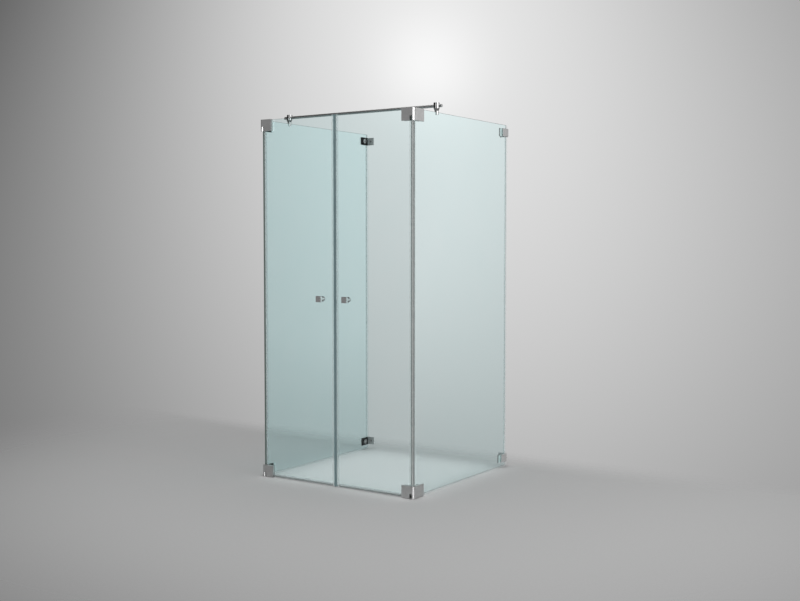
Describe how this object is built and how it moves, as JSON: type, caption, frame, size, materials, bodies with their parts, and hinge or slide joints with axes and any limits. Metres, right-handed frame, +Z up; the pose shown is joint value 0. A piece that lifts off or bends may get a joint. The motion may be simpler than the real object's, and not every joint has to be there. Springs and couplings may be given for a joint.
{
  "type": "shower enclosure",
  "caption": "Glass shower enclosure that stands against a wall, with fixed side panes, outward-opening hinged doors, corner hinges, wall brackets, knobs and a support bar.",
  "frame": {"origin": "middle of the whole part's footprint, on the floor", "axes": "+Y towards the wall behind, +Z up, +X to the right for someone standing in front and facing the doors"},
  "size_m": [1.06, 1.039, 2.05],
  "materials": {
    "pane_glass": "clear toughened glass with polished edges",
    "plate_metal": "polished chrome, slightly satin",
    "knob_metal": "polished chrome",
    "cap_metal": "polished chrome",
    "bar_steel": "brushed along the bar",
    "pin_steel": "plain stainless steel",
    "grey_seal": "satin grey soft plastic",
    "clear_seal": "translucent soft plastic",
    "white_pad": "satin white soft plastic",
    "black_plate": "satin black coating",
    "magnet_rubber": "matt dark brown"
  },
  "bodies": {
    "enclosure": {"bar_clamp_liners": "white_pad", "bar_clamps": "plate_metal", "bracket_cap_screws": "cap_metal", "hinge_pins": "pin_steel", "left_bottom_bracket_angle": "plate_metal", "left_bottom_bracket_plate": "black_plate", "left_bottom_hinge_side_leaf": "plate_metal", "left_corner_seal": "grey_seal", "left_floor_seal": "clear_seal", "left_side_clamp_plates": "black_plate", "left_side_glass": "pane_glass", "left_top_bracket_angle": "plate_metal", "left_top_bracket_plate": "black_plate", "left_top_hinge_side_leaf": "plate_metal", "left_wall_seal": "clear_seal", "right_bottom_bracket_angle": "plate_metal", "right_bottom_bracket_plate": "black_plate", "right_bottom_hinge_side_leaf": "plate_metal", "right_corner_seal": "grey_seal", "right_floor_seal": "clear_seal", "right_side_clamp_plates": "black_plate", "right_side_glass": "pane_glass", "right_top_bracket_angle": "plate_metal", "right_top_bracket_plate": "black_plate", "right_top_hinge_side_leaf": "plate_metal", "right_wall_seal": "clear_seal", "side_cap_screws": "cap_metal", "side_pads": "white_pad", "support_bar": "bar_steel"},
    "left_door": {"left_bottom_hinge_door_leaf": "plate_metal", "left_door_bottom_seal": "grey_seal", "left_door_cap_screws": "cap_metal", "left_door_clamp_plates": "black_plate", "left_door_glass": "pane_glass", "left_door_pads": "white_pad", "left_hinge_edge_seal": "grey_seal", "left_knob": "knob_metal", "left_magnet_strip": "magnet_rubber", "left_magnetic_seal": "grey_seal", "left_top_hinge_door_leaf": "plate_metal"},
    "right_door": {"right_bottom_hinge_door_leaf": "plate_metal", "right_door_bottom_seal": "grey_seal", "right_door_cap_screws": "cap_metal", "right_door_clamp_plates": "black_plate", "right_door_glass": "pane_glass", "right_door_pads": "white_pad", "right_hinge_edge_seal": "grey_seal", "right_knob": "knob_metal", "right_magnet_strip": "magnet_rubber", "right_magnetic_seal": "grey_seal", "right_top_hinge_door_leaf": "plate_metal"}
  },
  "joints": [
    {"name": "left_door_swing", "type": "hinge", "parent": "enclosure", "child": "left_door", "pos_m": [-0.502, -0.4825, 1], "axis": [0, 0, -1], "range_deg": [0, 110]},
    {"name": "right_door_swing", "type": "hinge", "parent": "enclosure", "child": "right_door", "pos_m": [0.502, -0.4825, 1], "axis": [0, 0, 1], "range_deg": [0, 110]}
  ]
}
